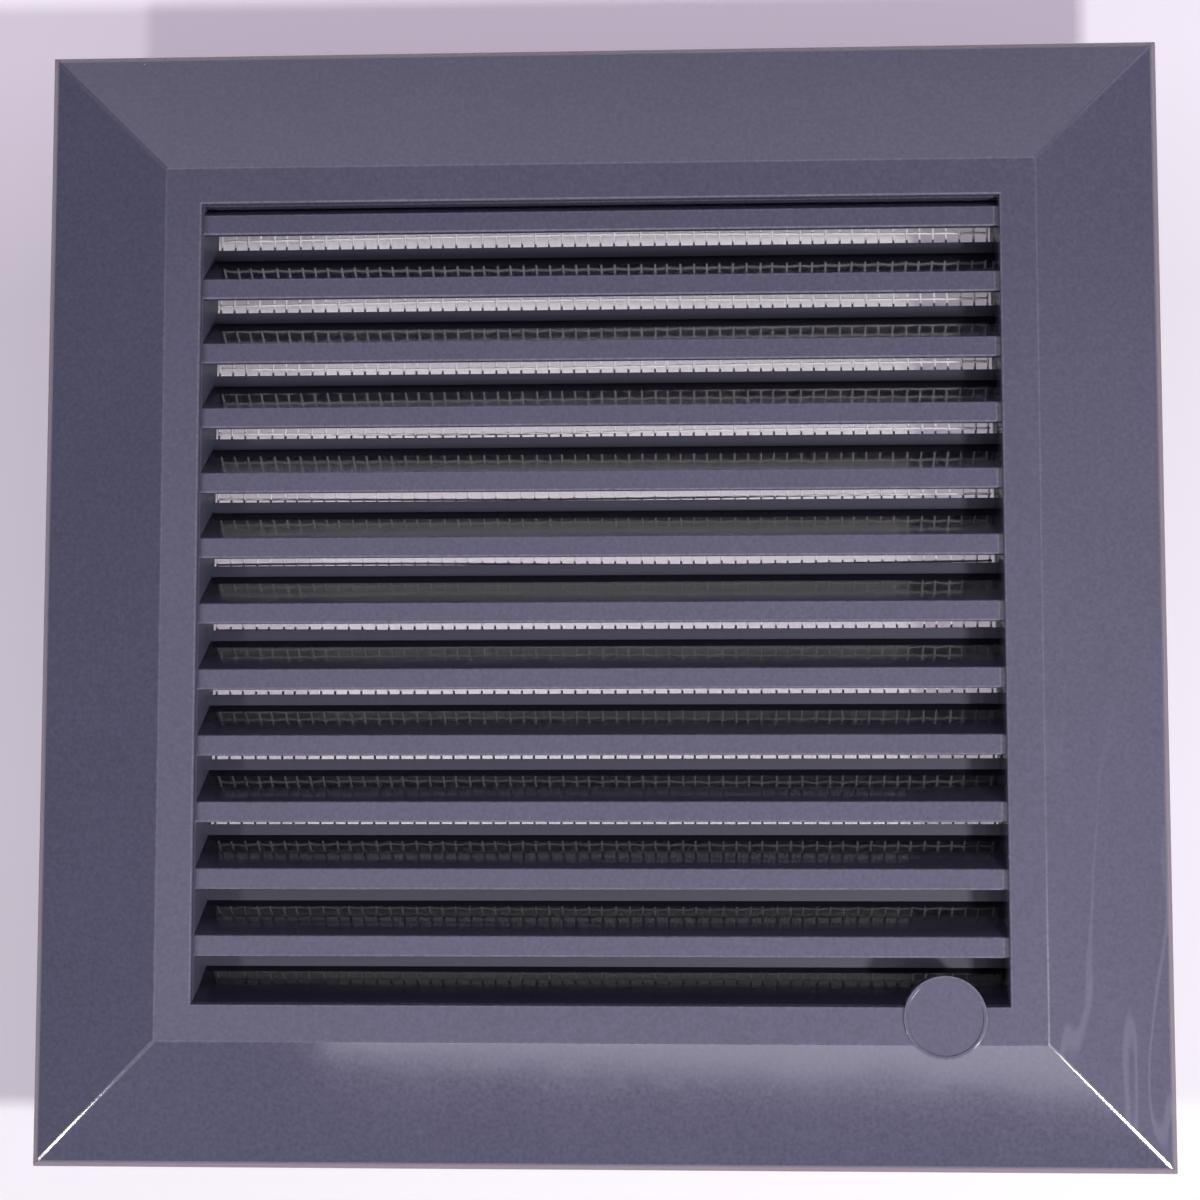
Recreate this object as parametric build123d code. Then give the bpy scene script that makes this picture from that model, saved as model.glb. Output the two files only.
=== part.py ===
"""Square louvred vent grille, moulded in one piece, with an insect mesh welded to the back of its slats.

Frame: +Z is up as the vent hangs on a wall, the face looks along -Y, and the origin is the middle of
the wall plane, so the flange lies in front of it and the collar reaches into the wall behind it.
"""
import math
import os

from build123d import *

# Border as seen from the front
flange_side = 165.0
opening_side = 117.4
flat_border = 5.35

# Border in section: the rim stands on the wall, the bevel climbs from it to the flat face
rim_height = 2.2
rim_bevel = 1.1
rim_round = 0.7
face_height = 5.65
border_wall = 2.0
foot_width = 2.0
foot_step = 0.6
bevel_round = 1.5
mitre_flat = 0.5
corner_round = 0.35
opening_round = 0.3

# Tunnel round the louvres, and the collar outside of it that goes into the hole in the wall
tunnel_wall = 2.0
tunnel_past_mesh = 0.6
collar_gap = 5.0
collar_wall = 2.0
collar_past_mesh = 14.0
collar_lead = 1.0

# Louvres: a front lip, a web that climbs to the back, and an upturned lip that turns rain back
slat_count = 12
top_gap = 1.4
slat_recess = 1.6
slat_face = 2.9
slat_run = 9.2
slat_wall = 1.3
web_wall = 1.5
slat_round = 0.25
lip_height = 1.62
lip_wall = 1.0
sight_gap = 0.28
slat_bite = 0.8

# Insect mesh: upright threads in front, level threads behind, and open cells in a thin sheet
thread_pitch = 2.0
thread_width = 0.36
thread_height = 0.16
sheet_height = 0.12
mesh_clearance = 0.3
cells_per_gap = 6

# Plain round boss at the lower right of the border
disc_diameter = 11.9
disc_inset = 9.2
disc_drop = 1.55
disc_proud = 0.45
disc_rim = 0.62
disc_dish = 0.2
disc_round = 0.18

# Places that follow from the sizes
outer_half = flange_side / 2
opening_half = opening_side / 2
bevel_half = opening_half + flat_border
tunnel_half = opening_half + tunnel_wall
collar_inside = tunnel_half + collar_gap
collar_half = collar_inside + collar_wall
slat_front = slat_recess - face_height
lip_front = slat_front + slat_run
lip_back = lip_front + lip_wall
mesh_thickness = 2 * thread_height + sheet_height
mesh_back = lip_back + mesh_thickness
tunnel_end = mesh_back + tunnel_past_mesh
collar_end = mesh_back + collar_past_mesh
slat_pitch = (opening_side - top_gap) / slat_count
web_rise = slat_pitch - slat_face - lip_height - sight_gap


def rounded(face, corner, radius):
    """The face with the corner nearest to the given point rounded."""
    vertex = face.vertices().sort_by_distance(corner)[0]
    return fillet(vertex, radius)


def border_section():
    """Section of flange, tunnel and collar: distance from the middle along X, depth along Y."""
    foot_inside = outer_half - foot_width
    face_back = border_wall - face_height
    back_slope = (-foot_step - face_back) / (foot_inside - bevel_half)
    collar_root = face_back + back_slope * (collar_inside - bevel_half)
    collar_foot = face_back + back_slope * (collar_half - bevel_half)
    rim_corner = (outer_half, -rim_height)
    bevel_corner = (bevel_half, -face_height)
    opening_corner = (opening_half, -face_height)
    collar_corner = (collar_half, collar_end)
    outline = Polyline(
        (outer_half, 0),
        rim_corner,
        bevel_corner,
        opening_corner,
        (opening_half, tunnel_end),
        (tunnel_half, tunnel_end),
        (tunnel_half, face_back),
        (bevel_half, face_back),
        (collar_inside, collar_root),
        (collar_inside, collar_end),
        collar_corner,
        (collar_half, collar_foot),
        (foot_inside, -foot_step),
        (foot_inside, 0),
        close=True,
    )
    section = make_face(outline)
    rim = section.vertices().sort_by_distance(rim_corner)[0]
    section = chamfer(rim, rim_bevel)
    section = rounded(section, (outer_half, rim_bevel - rim_height), rim_round)
    section = rounded(section, bevel_corner, bevel_round)
    section = rounded(section, opening_corner, opening_round)
    lead = section.vertices().sort_by_distance(collar_corner)[0]
    return chamfer(lead, collar_lead / 2, collar_lead)


def mitre_cutter():
    """Thin block above one mitre crease, which takes the sharp ridge off and leaves a narrow flat."""
    slope = (face_height - rim_height) / (outer_half - bevel_half)
    depth = mitre_flat / 2 * slope / math.sqrt(2 + slope**2)
    middle = (outer_half + bevel_half) / 2
    crease = Plane(origin=(middle, -(face_height + rim_height) / 2, middle), z_dir=(slope, -2, slope))
    length = 2 * (outer_half - bevel_half)
    return crease * Pos(0, 0, border_wall / 2 - depth) * Box(length, length, border_wall)


def border():
    """Four lengths of the section, mitred at their ends, joined into a square and eased at its corners."""
    reach = outer_half + foot_width
    bar = extrude(border_section(), amount=reach, both=True)
    wedge = make_face(Plane.XZ * Polyline((0, 0), (reach, reach), (reach, -reach), close=True))
    side = bar & extrude(wedge, amount=reach, both=True)
    quarter_turns = [Rot(0, 90 * turn, 0) for turn in range(4)]
    square = Part() + [turn * side for turn in quarter_turns]
    outline = Plane.XZ * RectangleRounded(flange_side, flange_side, corner_round)
    square = square & extrude(outline, amount=collar_end + face_height, both=True)
    return square - [turn * mitre_cutter() for turn in quarter_turns]


def slat():
    """One slat across the opening, with the top edge of its front lip at the height of the origin."""
    slope = web_rise / slat_run
    lip_top = web_rise + lip_height
    front_inside = slat_front + slat_wall
    top_edge = (slat_front, 0)
    bottom_edge = (slat_front, -slat_face)
    outline = Polyline(
        top_edge,
        (lip_front, web_rise),
        (lip_front, lip_top),
        (lip_back, lip_top),
        (lip_back, web_rise + slope * lip_wall - web_wall),
        (front_inside, slope * slat_wall - web_wall),
        (front_inside, -slat_face),
        bottom_edge,
        close=True,
    )
    section = make_face(Plane.YZ * outline)
    for depth, height in (top_edge, bottom_edge):
        section = rounded(section, (0, depth, height), slat_round)
    reach = opening_half + slat_bite
    return extrude(section, amount=reach, both=True)


def louvres():
    """All slats at an even pitch, trimmed where the first and the last run into the tunnel."""
    first_top = opening_half - top_gap
    one = slat()
    slats = [Pos(0, 0, first_top - number * slat_pitch) * one for number in range(slat_count + 1)]
    side = opening_side + 2 * slat_bite
    field = Box(side, collar_end + face_height, side)
    return [field & piece for piece in slats]


def boss():
    """Round boss across the lower edge of the opening, with a raised rounded rim and a bare dished face."""
    front = -face_height - disc_proud
    back = border_wall - face_height
    middle_x = opening_half - disc_inset
    middle_z = -opening_half - disc_drop
    place = Plane(origin=(middle_x, back, middle_z), z_dir=(0, -1, 0))
    disc = place * extrude(Circle(disc_diameter / 2), amount=back - front)
    dish_place = Plane(origin=(middle_x, front + disc_dish, middle_z), z_dir=(0, -1, 0))
    dish = dish_place * extrude(Circle(disc_diameter / 2 - disc_rim), amount=2 * disc_dish)
    dished = disc - dish
    rim_edges = dished.edges().group_by(Axis.Y)[0]
    return fillet(rim_edges, disc_round)


def louvre_grille():
    """The whole moulding: border, tunnel, collar, louvres and boss in one solid."""
    return border() + louvres() + boss()


def comb(side, foot, crest):
    """Section of one layer of threads: a thin sheet with a row of square ridges at the thread pitch."""
    per_half = int((side - thread_width) / (2 * thread_pitch))
    root = foot + (sheet_height if crest > foot else -sheet_height)
    points = [(-side / 2, foot), (-side / 2, root)]
    for number in range(-per_half, per_half + 1):
        middle = number * thread_pitch
        points.append((middle - thread_width / 2, root))
        points.append((middle - thread_width / 2, crest))
        points.append((middle + thread_width / 2, crest))
        points.append((middle + thread_width / 2, root))
    points.append((side / 2, root))
    points.append((side / 2, foot))
    return make_face(Polyline(*points, close=True))


def insect_mesh():
    """Square of woven mesh: upright ridges in front, level ridges behind, and open cells between them."""
    side = opening_side - 2 * mesh_clearance
    sheet_front = lip_back + thread_height
    sheet_back = sheet_front + sheet_height
    warp = extrude(comb(side, sheet_back, lip_back), amount=side / 2, both=True)
    weft = extrude(comb(side, sheet_front, mesh_back), amount=side / 2, both=True)
    sheet = warp + Rot(0, 90, 0) * weft
    cell = thread_pitch - thread_width
    gap = Pos(0, (lip_back + mesh_back) / 2, 0) * Box(cell, 2 * mesh_thickness, cell)
    gap_pitch = cells_per_gap * thread_pitch
    per_half = int((side / 2 - thread_pitch) / gap_pitch)
    places = [number * gap_pitch + thread_pitch / 2 for number in range(-per_half, per_half + 1)]
    return sheet - [Pos(across, 0, up) * gap for across in places for up in places]


os.makedirs("parts", exist_ok=True)
export_step(louvre_grille(), "parts/louvre_grille.step")
export_step(insect_mesh(), "parts/insect_mesh.step")
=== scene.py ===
import math
import random

import bpy
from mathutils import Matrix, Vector


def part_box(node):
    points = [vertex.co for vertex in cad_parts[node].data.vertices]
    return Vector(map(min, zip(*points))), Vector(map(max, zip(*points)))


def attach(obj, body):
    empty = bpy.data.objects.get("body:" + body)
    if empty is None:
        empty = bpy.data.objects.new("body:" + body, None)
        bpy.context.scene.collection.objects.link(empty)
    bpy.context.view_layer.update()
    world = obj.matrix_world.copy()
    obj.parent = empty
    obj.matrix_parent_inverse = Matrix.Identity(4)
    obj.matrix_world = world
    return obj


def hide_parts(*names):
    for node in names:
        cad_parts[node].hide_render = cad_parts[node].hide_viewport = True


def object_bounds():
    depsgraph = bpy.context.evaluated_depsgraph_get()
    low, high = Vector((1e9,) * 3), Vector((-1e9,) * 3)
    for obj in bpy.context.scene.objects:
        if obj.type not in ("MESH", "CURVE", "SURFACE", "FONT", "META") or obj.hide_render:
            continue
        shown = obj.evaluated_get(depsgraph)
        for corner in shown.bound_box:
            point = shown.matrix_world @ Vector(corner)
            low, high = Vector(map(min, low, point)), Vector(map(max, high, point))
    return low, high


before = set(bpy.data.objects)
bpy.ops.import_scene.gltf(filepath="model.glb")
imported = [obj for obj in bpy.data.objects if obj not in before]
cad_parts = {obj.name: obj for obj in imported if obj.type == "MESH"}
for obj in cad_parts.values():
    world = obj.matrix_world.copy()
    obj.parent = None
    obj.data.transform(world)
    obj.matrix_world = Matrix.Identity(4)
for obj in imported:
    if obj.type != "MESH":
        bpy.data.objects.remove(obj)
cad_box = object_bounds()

scene = bpy.context.scene
scene.view_settings.view_transform = "Standard"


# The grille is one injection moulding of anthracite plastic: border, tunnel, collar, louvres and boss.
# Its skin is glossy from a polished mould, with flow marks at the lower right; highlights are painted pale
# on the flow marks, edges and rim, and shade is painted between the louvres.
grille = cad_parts["louvre_grille"]
grille_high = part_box("louvre_grille")[1]
opening_half = 0.0587
opening_round = 0.0003
flat_border = 0.00535
bevel_half = opening_half + flat_border
face_front = -0.00565
slat_count = 12
top_gap = 0.0014
slat_top = opening_half - top_gap
slat_pitch = (opening_half + slat_top) / slat_count
slat_recess = 0.0016
slat_front = face_front + slat_recess
slat_run = 0.0092
lip_front = slat_front + slat_run
boss_inset = 0.0092
boss_drop = 0.00155
boss_x = opening_half - boss_inset
boss_z = -opening_half - boss_drop
boss_half = 0.00595
boss_rim = 0.00062

# How far from a surface its mask still holds
face_slack = 0.0001
wall_slack = 0.00003
slat_slack = 0.0003
boss_slack = 0.0002

# Plastic: two tones in a fine grain and slow waves
plastic_dark = (0.089, 0.086, 0.140, 1)
plastic_light = (0.133, 0.129, 0.210, 1)
grain_size = 0.0006
wave_size = 0.018
grain_share = 0.7
wave_share = 0.3
gloss_range = (0.06, 0.10)
wave_bump = (0.05, 0.0006)
grain_bump = (0.02, 0.00003)

# Flow marks: thin curved lines on the right bevel with a painted highlight, pale as a reflection, from none
# at the first height to full at the second
flow_highlight = (0.23, 0.22, 0.31, 1)
flow_width = 0.010
flow_length = 0.055
flow_lines = 5.0
flow_line_half = 0.11
flow_heights = (-0.012, -0.060)
flow_highlight_strength = 0.45

# Painted sheen: a pale band along the rim's rounded edge, standing in for a reflection
rim_sheen = (0.34, 0.258, 0.315, 1)
rim_sheen_reach = 0.001
rim_sheen_width = 0.0004
rim_sheen_strength = 0.75

# Painted shade: between the louvres the plastic is painted darker, less so on the rear lips and on the
# tunnel's left wall
painted_shade_colour = (0.023, 0.022, 0.040, 1)
painted_shade_depths = (0.0003, 0.0050)
lip_bare = 0.22
left_wall_bare = 0.80
matt_more = 0.40

# Painted highlights on the edges, and painted light on the slats' right ends over the border's shadow: where
# they lie, as shares of the slats' pitch or in metres, and how pale they are
edge_highlight = (0.36, 0.34, 0.43, 1)
slat_low_edge = (0.268, 0.290)
slat_low_highlight = 0.50
slat_top_edge = (0.022, 0.006)
slat_top_highlight = 0.22
slat_end = (0.00078, 0.00058)
slat_end_fill_light = 0.58
edge_half = 0.0002
opening_highlight = 0.32
crease_highlight = 0.18
low_crease_heights = (-0.036, -0.056)
low_crease_highlight = 0.45
boss_outside_half = 0.00016
boss_outside_highlight = 0.60
boss_inside_half = 0.00012
boss_inside_highlight = 0.22
broken_range = (0.55, 1.3)

# Mitres: the polished part of each crease widens outward, and its shoulders are dull
mitre_reach = (0.066, 0.080)
mitre_polish = (0.00005, 0.00017)
mitre_shoulder = 0.0003

# Dust: a few pale specks
dust_colour = (0.62, 0.60, 0.63, 1)
dust_size = 0.0075
dust_rarity = 0.80
dust_largest = 0.028


def fine_grain_group():
    """Shared effect: a fine even grain over a surface, as a height and as a tone between 0 and 1."""
    group = bpy.data.node_groups.new("fine_grain", "ShaderNodeTree")
    group.interface.new_socket("Grain Size", in_out="INPUT", socket_type="NodeSocketFloat")
    group.interface.new_socket("Height", in_out="OUTPUT", socket_type="NodeSocketFloat")
    group.interface.new_socket("Tone", in_out="OUTPUT", socket_type="NodeSocketFloat")
    nodes, links = group.nodes, group.links
    taken = nodes.new("NodeGroupInput")
    given = nodes.new("NodeGroupOutput")
    place = nodes.new("ShaderNodeTexCoord")
    scale = nodes.new("ShaderNodeMath")
    scale.operation = "DIVIDE"
    scale.inputs[0].default_value = 1
    links.new(taken.outputs["Grain Size"], scale.inputs[1])
    fine = nodes.new("ShaderNodeTexNoise")
    fine.inputs["Detail"].default_value = 3
    fine.inputs["Roughness"].default_value = 0.6
    links.new(place.outputs["Object"], fine.inputs["Vector"])
    links.new(scale.outputs[0], fine.inputs["Scale"])
    tone = nodes.new("ShaderNodeMapRange")
    tone.inputs["From Min"].default_value = 0.3
    tone.inputs["From Max"].default_value = 0.7
    links.new(fine.outputs["Fac"], tone.inputs["Value"])
    links.new(fine.outputs["Fac"], given.inputs["Height"])
    links.new(tone.outputs["Result"], given.inputs["Tone"])
    return group


def new_material(name):
    """An empty node material with its Principled BSDF wired to the output."""
    material = bpy.data.materials.new(name)
    material.use_nodes = True
    nodes = material.node_tree.nodes
    return material, nodes, material.node_tree.links, nodes["Principled BSDF"]


def grain_of(nodes, size):
    """The fine grain, placed in one material at its own size."""
    grain = nodes.new("ShaderNodeGroup")
    grain.node_tree = fine_grain
    grain.inputs["Grain Size"].default_value = size
    return grain


def computed(operation, *values):
    """Result of one math node on sockets and numbers, in the tree that the first socket is in."""
    sockets = [value for value in values if isinstance(value, bpy.types.NodeSocket)]
    tree = sockets[0].id_data
    made = tree.nodes.new("ShaderNodeMath")
    made.operation = operation
    for number, value in enumerate(values):
        if value in sockets:
            tree.links.new(value, made.inputs[number])
        else:
            made.inputs[number].default_value = value
    return made.outputs[0]


def ranged(value, low, high, to_low=0.0, to_high=1.0):
    """The value mapped from one range to another, and held at its ends."""
    tree = value.id_data
    made = tree.nodes.new("ShaderNodeMapRange")
    for name, number in (("From Min", low), ("From Max", high), ("To Min", to_low), ("To Max", to_high)):
        made.inputs[name].default_value = number
    tree.links.new(value, made.inputs["Value"])
    return made.outputs["Result"]


def mixed(factor, under, over):
    """A colour laid over another, or over the colour of a socket, by a mask."""
    tree = factor.id_data
    made = tree.nodes.new("ShaderNodeMix")
    made.data_type = "RGBA"
    tree.links.new(factor, made.inputs["Factor"])
    if isinstance(under, bpy.types.NodeSocket):
        tree.links.new(under, made.inputs["A"])
    else:
        made.inputs["A"].default_value = under
    made.inputs["B"].default_value = over
    return made.outputs["Result"]


def noise(vector, scale):
    """Slow noise over the given place."""
    tree = vector.id_data
    made = tree.nodes.new("ShaderNodeTexNoise")
    made.inputs["Scale"].default_value = scale
    made.inputs["Detail"].default_value = 2
    tree.links.new(vector, made.inputs["Vector"])
    return made.outputs["Fac"]


def line(value, middle, half_width):
    """Mask of a thin soft line where the value is at its middle."""
    return ranged(computed("ABSOLUTE", computed("SUBTRACT", value, middle)), half_width, half_width / 3)


def moulded_plastic():
    """Glossy anthracite with a violet cast, with painted shade between the slats and painted highlights on
    the edges, rim and flow marks.
    """
    material, nodes, links, shader = new_material("moulded_anthracite")
    shader.inputs["IOR"].default_value = 1.5
    place = nodes.new("ShaderNodeTexCoord")
    split = nodes.new("ShaderNodeSeparateXYZ")
    links.new(place.outputs["Object"], split.inputs[0])
    x, y, z = split.outputs["X"], split.outputs["Y"], split.outputs["Z"]
    across = computed("ABSOLUTE", x)
    up = computed("ABSOLUTE", z)
    ring = computed("MAXIMUM", across, up)
    on_right = computed("GREATER_THAN", x, up)

    grain = grain_of(nodes, grain_size)
    waves = noise(place.outputs["Object"], 1 / wave_size)
    fine_part = computed("MULTIPLY", grain.outputs["Tone"], grain_share)
    mottle = computed("ADD", fine_part, computed("MULTIPLY", waves, wave_share))
    colour = mixed(mottle, plastic_dark, plastic_light)

    # Painted highlight: pale streaks along the flow marks on the lower right bevel, standing in for the
    # lamp's reflection.
    flow_place = nodes.new("ShaderNodeCombineXYZ")
    links.new(computed("DIVIDE", x, flow_width), flow_place.inputs[0])
    links.new(computed("DIVIDE", z, flow_length), flow_place.inputs[1])
    flow = computed("FRACT", computed("MULTIPLY", noise(flow_place.outputs[0], 1.0), flow_lines))
    on_bevel = computed("MULTIPLY", on_right, computed("GREATER_THAN", ring, bevel_half))
    flow_highlight_mask = computed("MULTIPLY", line(flow, 0.5, flow_line_half), on_bevel)
    flow_highlight_mask = computed("MULTIPLY", flow_highlight_mask, ranged(z, *flow_heights))
    colour = mixed(computed("MULTIPLY", flow_highlight_mask, flow_highlight_strength), colour, flow_highlight)

    # Painted sheen: a pale band along the rim, standing in for the paper's reflection on its rounded edge.
    rim_sheen_start = grille_high.x - rim_sheen_reach
    on_rim = ranged(ring, rim_sheen_start, rim_sheen_start + rim_sheen_width)
    colour = mixed(computed("MULTIPLY", on_rim, rim_sheen_strength), colour, rim_sheen)

    # Painted shade: a darker colour deep between the louvres, lighter on the lips and on the tunnel's left
    # wall.
    within = computed("LESS_THAN", ring, opening_half + face_slack)
    deep = ranged(y, slat_front + painted_shade_depths[0], slat_front + painted_shade_depths[1])
    lip = computed("COMPARE", y, lip_front, face_slack)
    left_wall = computed("MULTIPLY", computed("LESS_THAN", x, wall_slack - opening_half), within)
    bare_lip = computed("MULTIPLY", lip, lip_bare)
    bare_wall = computed("MULTIPLY", left_wall, left_wall_bare)
    bare = computed("MAXIMUM", bare_lip, bare_wall)
    painted_shade = computed("MULTIPLY", computed("SUBTRACT", deep, bare), within)
    colour = mixed(painted_shade, colour, painted_shade_colour)

    # Painted highlights: pale lines along the slats' lower and upper edges, and painted light on their right
    # ends over the border's shadow.
    step = computed("FRACT", computed("DIVIDE", computed("SUBTRACT", slat_top, z), slat_pitch))
    low_edge_highlight = computed("MULTIPLY", ranged(step, *slat_low_edge), slat_low_highlight)
    top_edge_highlight = computed("MULTIPLY", ranged(step, *slat_top_edge), slat_top_highlight)
    end_reach = ranged(x, opening_half - slat_end[0], opening_half - slat_end[1])
    end_fill_light = computed("MULTIPLY", end_reach, slat_end_fill_light)
    on_slat = computed("MULTIPLY", computed("COMPARE", y, slat_front, slat_slack), within)
    slat_edge_light = computed("MAXIMUM", computed("MAXIMUM", low_edge_highlight, top_edge_highlight), end_fill_light)
    slat_edges = computed("MULTIPLY", slat_edge_light, on_slat)

    # Painted highlights on the opening's edge and on the border's creases, stronger at the lower right.
    opening_line = line(ring, opening_half + opening_round / 2, edge_half)
    opening_edge = computed("MULTIPLY", opening_line, opening_highlight)
    low_right = computed("MULTIPLY", on_right, ranged(z, *low_crease_heights))
    crease_light = computed("ADD", computed("MULTIPLY", low_right, low_crease_highlight), crease_highlight)
    crease = computed("MULTIPLY", line(ring, bevel_half, edge_half), crease_light)
    on_face = computed("COMPARE", y, face_front + opening_round / 2, edge_half)
    face_edges = computed("MULTIPLY", computed("MAXIMUM", opening_edge, crease), on_face)

    # Painted highlights: pale lines round the boss's outer edge and its inner rim.
    boss_across = computed("POWER", computed("ABSOLUTE", computed("SUBTRACT", x, boss_x)), 2)
    boss_up = computed("POWER", computed("ABSOLUTE", computed("SUBTRACT", z, boss_z)), 2)
    radius = computed("SQRT", computed("ADD", boss_across, boss_up))
    boss_outside = line(radius, boss_half - boss_outside_half / 2, boss_outside_half)
    boss_inside = line(radius, boss_half - boss_rim + boss_inside_half / 2, boss_inside_half)
    boss_outside = computed("MULTIPLY", boss_outside, boss_outside_highlight)
    boss_inside = computed("MULTIPLY", boss_inside, boss_inside_highlight)
    proud = computed("LESS_THAN", y, face_front - boss_slack)
    boss_edges = computed("MULTIPLY", computed("MAXIMUM", boss_outside, boss_inside), proud)

    edges = computed("MAXIMUM", computed("MAXIMUM", slat_edges, face_edges), boss_edges)
    broken = ranged(grain.outputs["Tone"], 0.0, 1.0, *broken_range)
    colour = mixed(computed("MULTIPLY", edges, broken), colour, edge_highlight)

    cells = nodes.new("ShaderNodeTexVoronoi")
    cells.inputs["Scale"].default_value = 1 / dust_size
    links.new(place.outputs["Object"], cells.inputs["Vector"])
    chosen = nodes.new("ShaderNodeSeparateColor")
    links.new(cells.outputs["Color"], chosen.inputs["Color"])
    speck_size = ranged(chosen.outputs["Red"], dust_rarity, 1.0, 0.0, dust_largest)
    speck = computed("LESS_THAN", cells.outputs["Distance"], speck_size)
    colour = mixed(speck, colour, dust_colour)
    links.new(colour, shader.inputs["Base Color"])

    off_mitre = computed("MULTIPLY", computed("ABSOLUTE", computed("SUBTRACT", across, up)), math.sqrt(0.5))
    polished = ranged(ring, *mitre_reach, *mitre_polish)
    past_polish = computed("GREATER_THAN", off_mitre, polished)
    shoulder = computed("MULTIPLY", past_polish, computed("LESS_THAN", off_mitre, mitre_shoulder))
    dull = computed("MULTIPLY", shoulder, computed("GREATER_THAN", ring, bevel_half + mitre_shoulder))
    inside = computed("MAXIMUM", computed("MULTIPLY", lip, within), left_wall)
    matt = computed("MULTIPLY", computed("MAXIMUM", dull, inside), matt_more)
    gloss = ranged(mottle, 0.0, 1.0, *gloss_range)
    links.new(computed("ADD", gloss, matt), shader.inputs["Roughness"])

    swell = nodes.new("ShaderNodeBump")
    swell.inputs["Strength"].default_value, swell.inputs["Distance"].default_value = wave_bump
    links.new(waves, swell.inputs["Height"])
    skin = nodes.new("ShaderNodeBump")
    skin.inputs["Strength"].default_value, skin.inputs["Distance"].default_value = grain_bump
    links.new(grain.outputs["Height"], skin.inputs["Height"])
    links.new(swell.outputs["Normal"], skin.inputs["Normal"])
    links.new(skin.outputs["Normal"], shader.inputs["Normal"])
    return material


fine_grain = fine_grain_group()
grille.data.materials.clear()
grille.data.materials.append(moulded_plastic())


# The insect mesh is a square of light grey coated thread in plain weave, at a pitch of two millimetres.
# It is welded to the back of the slats' upturned lips, and its threads run a little uneven.
thread_pitch = 0.002
thread_width = 0.00036
thread_height = 0.00022
sides_of_thread = 6
steps_per_cell = 2
level_wander = 0.00022
upright_wander = 0.00012
wander_waves = (1.5, 4.5)
thread_dark = (0.88, 0.82, 0.89, 1)
thread_light = (0.98, 0.93, 0.99, 1)
thread_grain = 0.0025
thread_gloss = (0.38, 0.55)
mesh_low, mesh_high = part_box("insect_mesh")
mesh_middle = (mesh_low + mesh_high) / 2
mesh_half = (mesh_high.x - mesh_low.x) / 2
weave_height = (mesh_high.y - mesh_low.y - thread_height) / 2
threads_per_half = int((mesh_half - thread_width / 2 - level_wander) / thread_pitch)


def thread_path(number, upright, wander, wave):
    """Centre points of one thread from edge to edge of the mesh, over and under its neighbours."""
    steps = 2 * threads_per_half * steps_per_cell
    end = mesh_half - 0.5 * thread_width
    points = []
    for step in range(steps + 1):
        along = (step / steps * 2 - 1) * threads_per_half * thread_pitch
        if step == 0:
            along = -end
        if step == steps:
            along = end
        cell = (step / steps_per_cell) - threads_per_half
        over = math.cos(math.pi * (cell + number)) * weave_height
        across = number * thread_pitch
        across += wander * math.sin(along / mesh_half * wave[0] + wave[1])
        across = max(-end, min(end, across))
        if upright:
            points.append(Vector((across, over, along)))
        else:
            points.append(Vector((along, -over, across)))
    return points


def woven_mesh():
    """All threads of the mesh as flattened tubes in one object."""
    random.seed(11)
    vertices, faces = [], []
    for upright in (True, False):
        wander = upright_wander if upright else level_wander
        wide = Vector((1, 0, 0)) if upright else Vector((0, 0, 1))
        for number in range(-threads_per_half, threads_per_half + 1):
            wave = (random.uniform(*wander_waves), random.uniform(0, math.tau))
            path = thread_path(number, upright, wander, wave)
            first = len(vertices)
            for point in path:
                for side in range(sides_of_thread):
                    turn = math.tau * (side + 0.5) / sides_of_thread
                    offset = wide * (math.cos(turn) * thread_width / 2)
                    offset += Vector((0, math.sin(turn) * thread_height / 2, 0))
                    vertices.append(mesh_middle + point + offset)
            for ring in range(len(path) - 1):
                for side in range(sides_of_thread):
                    a = first + ring * sides_of_thread + side
                    b = first + ring * sides_of_thread + (side + 1) % sides_of_thread
                    quad = (a, b, b + sides_of_thread, a + sides_of_thread)
                    faces.append(quad if upright else quad[::-1])
            start = tuple(range(first, first + sides_of_thread))
            last = len(vertices) - sides_of_thread
            stop = tuple(range(last, last + sides_of_thread))
            faces.append(start[::-1] if upright else start)
            faces.append(stop if upright else stop[::-1])
    data = bpy.data.meshes.new("insect_mesh_threads")
    data.from_pydata(vertices, [], faces)
    data.validate()
    data.polygons.foreach_set("use_smooth", [True] * len(data.polygons))
    piece = bpy.data.objects.new("insect_mesh_threads", data)
    scene.collection.objects.link(piece)
    return piece


def coated_thread():
    """Light grey thread with a thin even coat."""
    material, nodes, links, shader = new_material("coated_thread")
    tone = grain_of(nodes, thread_grain).outputs["Tone"]
    links.new(mixed(tone, thread_dark, thread_light), shader.inputs["Base Color"])
    links.new(ranged(tone, 0.0, 1.0, *thread_gloss), shader.inputs["Roughness"])
    return material


threads = woven_mesh()
threads.data.materials.append(coated_thread())
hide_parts("insect_mesh")
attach(threads, "root")


# The backdrop is a sheet of white paper that the collar's end rests against, and a pale floor lies below.
# Both are stage: the paper takes the vent's shadow, is clear from behind, and has a glow painted brighter
# towards the top and painted darker behind the mesh.
paper_colour = (0.93, 0.915, 0.945, 1)
paper_specular = 0.1
paper_grain = 0.004
paper_gloss = (0.85, 0.95)
glow_tint = (0.94, 0.79, 0.99)
glow_levels = [(-0.09, 0.215), (-0.03, 0.275), (0.05, 0.285), (0.09, 0.40)]
glow_reach = 0.1
collar_half = 0.066
shade_heights = (0.020, 0.055)
shade_behind_mesh = 0.35
paper_half = 0.6
paper_clearance = 0.0003
floor_half = 3
floor_drop = 0.22


def plane(name, corners):
    """One flat sheet from four corners, with its front where they run anticlockwise."""
    data = bpy.data.meshes.new(name)
    data.from_pydata(corners, [], [(0, 1, 2, 3)])
    piece = bpy.data.objects.new(name, data)
    scene.collection.objects.link(piece)
    return piece


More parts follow.
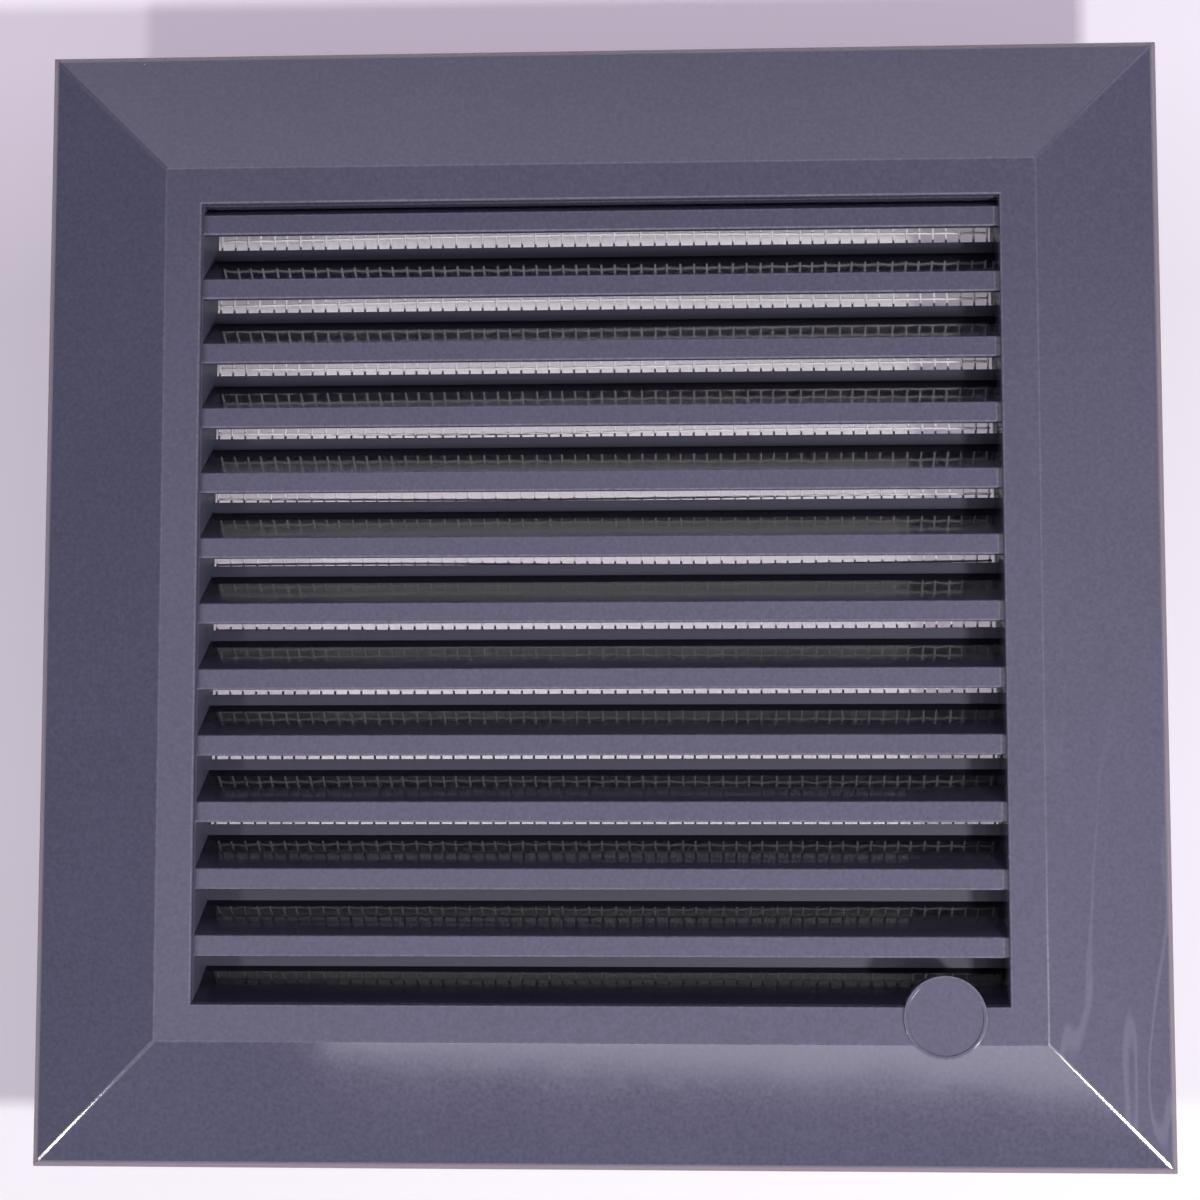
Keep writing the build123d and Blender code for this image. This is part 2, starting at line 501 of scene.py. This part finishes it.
def colour_steps(value, steps, tint):
    """The tint at a level for each of the given values between 0 and 1."""
    tree = value.id_data
    ramp = tree.nodes.new("ShaderNodeValToRGB")
    stops = ramp.color_ramp.elements
    while len(stops) < len(steps):
        stops.new(0.5)
    for stop, (position, level) in zip(stops, steps):
        stop.position = position
        stop.color = [part * level for part in tint] + [1]
    tree.links.new(value, ramp.inputs["Fac"])
    return ramp.outputs["Color"]


def paper():
    """White paper that shows from its front only, with a glow for the camera and the gloss, painted brighter
    towards the top and darker behind the upper mesh.
    """
    material, nodes, links, shader = new_material("white_paper")
    shader.inputs["Base Color"].default_value = paper_colour
    shader.inputs["Specular IOR Level"].default_value = paper_specular
    tone = grain_of(nodes, paper_grain).outputs["Tone"]
    links.new(ranged(tone, 0.0, 1.0, *paper_gloss), shader.inputs["Roughness"])

    place = nodes.new("ShaderNodeTexCoord")
    split = nodes.new("ShaderNodeSeparateXYZ")
    links.new(place.outputs["Object"], split.inputs[0])
    x, z = split.outputs["X"], split.outputs["Z"]
    ring = computed("MAXIMUM", computed("ABSOLUTE", x), computed("ABSOLUTE", z))
    outside = computed("GREATER_THAN", ring, collar_half)

    # Painted light and shade on the glow: brighter towards the top, darker behind the upper part of the
    # mesh.
    glow = nodes.new("ShaderNodeEmission")
    steps = [((up + glow_reach) / (2 * glow_reach), level) for up, level in glow_levels]
    height = ranged(z, -glow_reach, glow_reach)
    links.new(colour_steps(height, steps, glow_tint), glow.inputs["Color"])
    behind_mesh = computed("MULTIPLY", computed("SUBTRACT", 1.0, outside), ranged(z, *shade_heights))
    shade = computed("MULTIPLY", behind_mesh, shade_behind_mesh)
    links.new(computed("SUBTRACT", 1.0, shade), glow.inputs["Strength"])
    lit = nodes.new("ShaderNodeAddShader")
    links.new(shader.outputs[0], lit.inputs[0])
    links.new(glow.outputs[0], lit.inputs[1])

    ray = nodes.new("ShaderNodeLightPath")
    mirrored = computed("MAXIMUM", ray.outputs["Is Glossy Ray"], ray.outputs["Is Transmission Ray"])
    seen = computed("MAXIMUM", ray.outputs["Is Camera Ray"], computed("MULTIPLY", mirrored, outside))
    shown = nodes.new("ShaderNodeMixShader")
    links.new(seen, shown.inputs["Fac"])
    links.new(shader.outputs[0], shown.inputs[1])
    links.new(lit.outputs[0], shown.inputs[2])
    clear = nodes.new("ShaderNodeBsdfTransparent")
    side = nodes.new("ShaderNodeNewGeometry")
    one_side = nodes.new("ShaderNodeMixShader")
    links.new(side.outputs["Backfacing"], one_side.inputs["Fac"])
    links.new(shown.outputs[0], one_side.inputs[1])
    links.new(clear.outputs[0], one_side.inputs[2])
    links.new(one_side.outputs[0], nodes["Material Output"].inputs["Surface"])
    return material


paper_place = grille_high.y + paper_clearance
floor_height = cad_box[0].z - floor_drop
wall = plane("paper_backdrop", [
    (-paper_half, paper_place, floor_height),
    (paper_half, paper_place, floor_height),
    (paper_half, paper_place, paper_half),
    (-paper_half, paper_place, paper_half),
])
floor = plane("pale_floor", [
    (-floor_half, -floor_half, floor_height),
    (floor_half, -floor_half, floor_height),
    (floor_half, floor_half, floor_height),
    (-floor_half, floor_half, floor_height),
])
white_paper = paper()
wall.data.materials.append(white_paper)
floor.data.materials.append(white_paper)
wall.visible_shadow = False
floor.visible_shadow = False
floor.visible_diffuse = False
floor.visible_glossy = False


# Two small lamps stand low on either side of the camera, the right one much the stronger. The room is dim.
# The gloss also shows a pale patch round the camera, another above it, a white card below and a glint.
right_place = Vector((0.235, -0.42, -0.215))
right_size = (0.05, 0.05)
right_power = 1.68
right_tint = (0.99, 0.99, 0.965)
left_place = Vector((-0.262, -0.42, -0.235))
left_size = (0.045, 0.045)
left_power = 0.66
left_tint = (0.99, 0.99, 0.97)
glint_place = Vector((0.158, -0.489, -0.131))
glint_size = (0.026, 0.026)
glint_power = 0.13
glint_tint = (1.0, 0.98, 1.0)
card_place = Vector((0.083, -0.852, -0.439))
card_size = (0.554, 0.113)
card_power = 0.95
card_tint = (0.95, 0.88, 1.0)
room_tint = (0.92, 0.83, 1.04)
room_level = 0.17
room_levels = [
    (-90, 0.08), (-30, 0.06), (-14, 0.06), (-11, 1.45), (-3, 1.42), (3, 1.22), (8, 1.0), (14, 0.36),
    (23, 0.30), (27, 1.75), (34, 1.75), (38, 1.20), (42, 0.20), (50, 0.0), (90, 0.0),
]
patch_left = (-0.46, -0.30)
patch_right = (0.85, 0.40)
patch_back = (0.0, -0.15)
backdrop_white = (0.93, 0.92, 0.94, 1)


def lamp(name, place, size, power, tint, only_gloss=False):
    """A flat lamp that faces the vent, and that shows only in the gloss when it is asked to."""
    data = bpy.data.lights.new(name, "AREA")
    data.shape = "RECTANGLE"
    data.size, data.size_y = size
    data.energy = power
    data.color = tint
    piece = bpy.data.objects.new(name, data)
    piece.location = place
    piece.rotation_euler = (-place).to_track_quat("-Z", "Y").to_euler()
    piece.visible_camera = False
    piece.visible_diffuse = not only_gloss
    scene.collection.objects.link(piece)


def room():
    """World whose pale patch, seen from the vent, has a level for each height in degrees."""
    world = bpy.data.worlds.new("room")
    world.use_nodes = True
    nodes, links = world.node_tree.nodes, world.node_tree.links
    place = nodes.new("ShaderNodeTexCoord")
    split = nodes.new("ShaderNodeSeparateXYZ")
    links.new(place.outputs["Generated"], split.inputs[0])
    ray = nodes.new("ShaderNodeLightPath")
    patch = ray.outputs["Is Glossy Ray"]
    for axis, ends in (("X", patch_left), ("X", patch_right), ("Y", patch_back)):
        edge = ranged(split.outputs[axis], *ends)
        edge.node.interpolation_type = "SMOOTHSTEP"
        patch = computed("MULTIPLY", patch, edge)

    dim = nodes["Background"]
    dim.inputs["Color"].default_value = (*room_tint, 1)
    dim.inputs["Strength"].default_value = room_level
    pale = nodes.new("ShaderNodeBackground")
    steps = [((math.sin(math.radians(degrees)) + 1) / 2, level) for degrees, level in room_levels]
    height = ranged(split.outputs["Z"], -1.0, 1.0)
    links.new(colour_steps(height, steps, room_tint), pale.inputs["Color"])
    links.new(patch, pale.inputs["Strength"])
    lit = nodes.new("ShaderNodeAddShader")
    links.new(dim.outputs[0], lit.inputs[0])
    links.new(pale.outputs[0], lit.inputs[1])
    seen = nodes.new("ShaderNodeBackground")
    seen.inputs["Color"].default_value = backdrop_white
    choice = nodes.new("ShaderNodeMixShader")
    links.new(ray.outputs["Is Camera Ray"], choice.inputs["Fac"])
    links.new(lit.outputs[0], choice.inputs[1])
    links.new(seen.outputs[0], choice.inputs[2])
    links.new(choice.outputs[0], nodes["World Output"].inputs["Surface"])
    return world


lamp("lamp_right", right_place, right_size, right_power, right_tint)
lamp("lamp_left", left_place, left_size, left_power, left_tint)
lamp("lamp_glint", glint_place, glint_size, glint_power, glint_tint, only_gloss=True)
lamp("white_card", card_place, card_size, card_power, card_tint, only_gloss=True)
scene.world = room()


# The camera stands close in front of the vent, a little to the right of its middle and below it.
# It looks almost straight at the middle, so the slats' webs and the mesh show between the louvres.
camera_place = Vector((0.01865, -0.36461, -0.03237))
camera_aim = Vector((0.00013, 0, -0.00002))
camera_data = bpy.data.cameras.new("camera")
camera_data.lens = 74.67
camera_data.sensor_width = 36
camera_data.clip_start = 0.01
camera = bpy.data.objects.new("camera", camera_data)
camera.location = camera_place
camera.rotation_euler = (camera_aim - camera_place).to_track_quat("-Z", "Y").to_euler()
scene.collection.objects.link(camera)
scene.camera = camera
